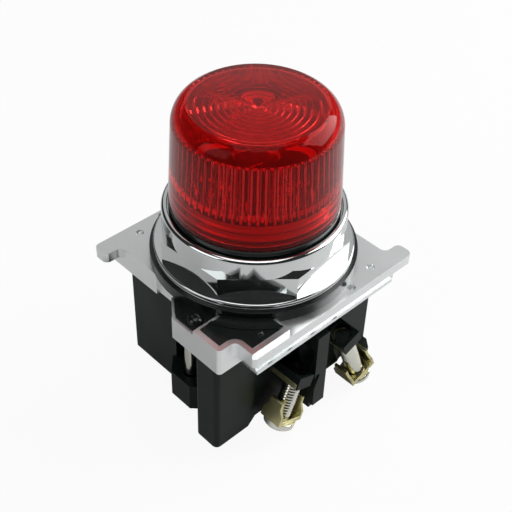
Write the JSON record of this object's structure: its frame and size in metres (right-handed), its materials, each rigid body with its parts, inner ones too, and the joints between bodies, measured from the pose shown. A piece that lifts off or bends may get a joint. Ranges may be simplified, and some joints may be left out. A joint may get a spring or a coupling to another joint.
{
  "type": "panel pilot light",
  "caption": "Panel pilot light: a red screw-on lens over a bayonet lamp, on a threaded die-cast base with a clamp-terminal transformer block behind.",
  "frame": {"origin": "on the lamp axis, on the plane of the panel: the face of the rubber panel seal, on which the nut's washer rests", "axes": "+Z out through the lens; +X along the base's length, across the two raised ears; +Y across it, with the terminals on the -Y side"},
  "size_m": [0.0522, 0.0475, 0.0708],
  "materials": {
    "red_lens": "clear red polycarbonate, ribbed inside",
    "black_rubber": "matt moulded rubber",
    "bright_chrome": "mirror chrome plate",
    "washer_steel": "bright plated steel",
    "die_cast_zinc": "satin plated die casting",
    "bulb_glass": "clear glass",
    "cap_brass": "plated brass",
    "socket_plastic": "moulded thermoset",
    "shell_brass": "tinned brass",
    "spring_steel": "drawn wire",
    "block_plastic": "black moulded thermoset with a slight sheen",
    "cover_plastic": "pressed fibre sheet",
    "core_steel": "varnished laminations",
    "bobbin_plastic": "natural nylon",
    "winding_copper": "enamelled copper wire",
    "terminal_brass": "bright brass",
    "screw_nickel": "bright zinc plate"
  },
  "bodies": {
    "housing": {"panel_seal": "black_rubber", "die_cast_base": "die_cast_zinc", "socket_body": "socket_plastic", "socket_shell": "shell_brass", "contact_spring": "spring_steel", "power_block": "block_plastic", "back_cover": "cover_plastic", "transformer_core": "core_steel", "coil_bobbin": "bobbin_plastic", "coil_winding": "winding_copper", "terminal_plate_1": "terminal_brass", "terminal_plate_2": "terminal_brass", "cover_rivets": "screw_nickel"},
    "lens_gasket": {"lens_seal": "black_rubber"},
    "lens_cap": {"lens": "red_lens"},
    "nut_ring": {"nut_washer": "washer_steel"},
    "nut": {"ring_nut": "bright_chrome"},
    "centre_contact": {"contact_plunger": "shell_brass"},
    "lamp": {"lamp_bulb": "bulb_glass", "lamp_cap": "cap_brass"},
    "clamp_1": {"wire_clamp_1": "terminal_brass"},
    "screw_1": {"terminal_screw_1": "screw_nickel"},
    "clamp_2": {"wire_clamp_2": "terminal_brass"},
    "screw_2": {"terminal_screw_2": "screw_nickel"},
    "back_washer_1": {"lock_washer_1": "spring_steel"},
    "back_screw_1": {"fixing_screw_1": "screw_nickel"},
    "back_washer_2": {"lock_washer_2": "spring_steel"},
    "back_screw_2": {"fixing_screw_2": "screw_nickel"}
  },
  "joints": [
    {"name": "lens_travel", "type": "slide", "parent": "housing", "child": "lens_gasket", "axis": [0, 0, 1], "range_m": [0, 0.004]},
    {"name": "lens_turn", "type": "hinge", "parent": "lens_gasket", "child": "lens_cap", "pos_m": [0, 0, 0.0123], "axis": [0, 0, 1], "range_deg": [0, 721]},
    {"name": "nut_travel", "type": "slide", "parent": "housing", "child": "nut_ring", "axis": [0, 0, 1], "range_m": [0, 0.0012]},
    {"name": "nut_turn", "type": "hinge", "parent": "nut_ring", "child": "nut", "pos_m": [0, 0, 0.0006], "axis": [0, 0, 1], "range_deg": [0, 289]},
    {"name": "lamp_press", "type": "slide", "parent": "housing", "child": "centre_contact", "axis": [0, 0, -1], "range_m": [0, 0.0015], "stiffness_N_per_m": 300, "springref_m": -0.0015, "deforming": ["contact_spring"]},
    {"name": "lamp_turn", "type": "hinge", "parent": "centre_contact", "child": "lamp", "pos_m": [0, 0, 0.0055], "axis": [0, 0, 1], "range_deg": [0, 30.1]},
    {"name": "clamp_1_travel", "type": "slide", "parent": "housing", "child": "clamp_1", "axis": [0.3746, 0, 0.9272], "range_m": [0, 0.0064]},
    {"name": "clamp_1_turn", "type": "hinge", "parent": "clamp_1", "child": "screw_1", "pos_m": [-0.0069, -0.0205, -0.0218], "axis": [0.3746, 0, 0.9272], "range_deg": [0, 2881]},
    {"name": "clamp_2_travel", "type": "slide", "parent": "housing", "child": "clamp_2", "axis": [-0.3746, 0, 0.9272], "range_m": [0, 0.008]},
    {"name": "clamp_2_turn", "type": "hinge", "parent": "clamp_2", "child": "screw_2", "pos_m": [0.0083, -0.0205, -0.0199], "axis": [-0.3746, 0, 0.9272], "range_deg": [0, 3601]},
    {"name": "back_screw_1_travel", "type": "slide", "parent": "housing", "child": "back_washer_1", "axis": [0, 0, -1], "range_m": [0, 0.004]},
    {"name": "back_screw_1_turn", "type": "hinge", "parent": "back_washer_1", "child": "back_screw_1", "pos_m": [-0.0199, -0.0022, -0.0283], "axis": [0, 0, -1], "range_deg": [0, 1801]},
    {"name": "back_screw_2_travel", "type": "slide", "parent": "housing", "child": "back_washer_2", "axis": [0, 0, -1], "range_m": [0, 0.004]},
    {"name": "back_screw_2_turn", "type": "hinge", "parent": "back_washer_2", "child": "back_screw_2", "pos_m": [0.0199, 0.0022, -0.0283], "axis": [0, 0, -1], "range_deg": [0, 1801]}
  ],
  "couplings": [
    {"joint": "lens_turn", "follows": "lens_travel", "rad_per_m": 3141.6},
    {"joint": "nut_turn", "follows": "nut_travel", "rad_per_m": 4188.8},
    {"joint": "lamp_turn", "follows": "lamp_press", "rad_per_m": 349.07},
    {"joint": "clamp_1_turn", "follows": "clamp_1_travel", "rad_per_m": 7854},
    {"joint": "clamp_2_turn", "follows": "clamp_2_travel", "rad_per_m": 7854},
    {"joint": "back_screw_1_turn", "follows": "back_screw_1_travel", "rad_per_m": 7854},
    {"joint": "back_screw_2_turn", "follows": "back_screw_2_travel", "rad_per_m": 7854}
  ]
}
